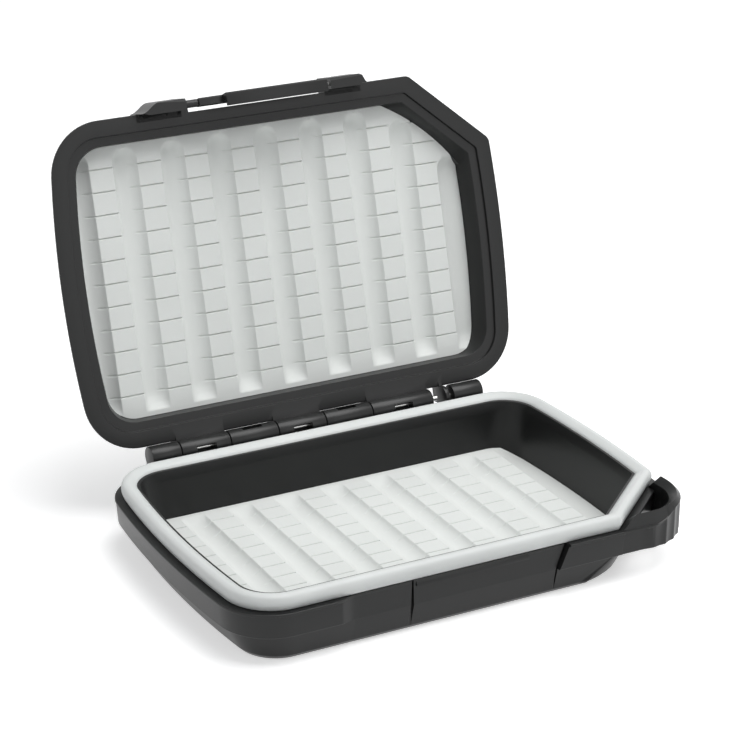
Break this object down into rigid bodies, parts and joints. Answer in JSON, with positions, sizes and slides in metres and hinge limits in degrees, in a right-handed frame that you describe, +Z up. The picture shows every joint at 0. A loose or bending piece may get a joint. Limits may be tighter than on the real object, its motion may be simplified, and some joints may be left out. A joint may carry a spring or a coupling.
{
  "type": "fly box",
  "caption": "Pocket fly box with a pinned lid, ridged slit foam liners, a sealing ring, a pivoting latch and a lanyard loop.",
  "frame": {"origin": "centre of the flat underside, midway between the widest points and between the front and the back of the plan outline", "axes": "+X along the hinge, to the right seen from the front; +Y from the front to the hinge; +Z up from the underside"},
  "size_m": [0.1463, 0.1363, 0.118],
  "materials": {
    "shell": "fine satin moulded surface, soft edges",
    "seal": "smooth off-white silicone",
    "foam": "closed-cell foam, matte, very pale grey",
    "adhesive": "thin clear-white film",
    "steel": "drawn wire"
  },
  "bodies": {
    "base": {"base_shell": "shell", "gasket": "seal", "base_foam": "foam", "base_foam_adhesive": "adhesive", "hinge_pin_long": "steel", "hinge_pin_short": "steel", "lanyard_loop": "shell"},
    "lid": {"lid_shell": "shell", "lid_foam": "foam", "lid_foam_adhesive": "adhesive", "latch_pin": "steel"},
    "latch": {"latch_flap": "shell"}
  },
  "joints": [
    {"name": "lid_hinge", "type": "hinge", "parent": "base", "child": "lid", "pos_m": [0, 0.05074, 0.01899], "axis": [1, 0, 0], "range_deg": [0, 106.09]},
    {"name": "latch_pivot", "type": "hinge", "parent": "lid", "child": "latch", "pos_m": [0, 0.07634, 0.11513], "axis": [1, 0, 0], "range_deg": [-45, 12]}
  ]
}
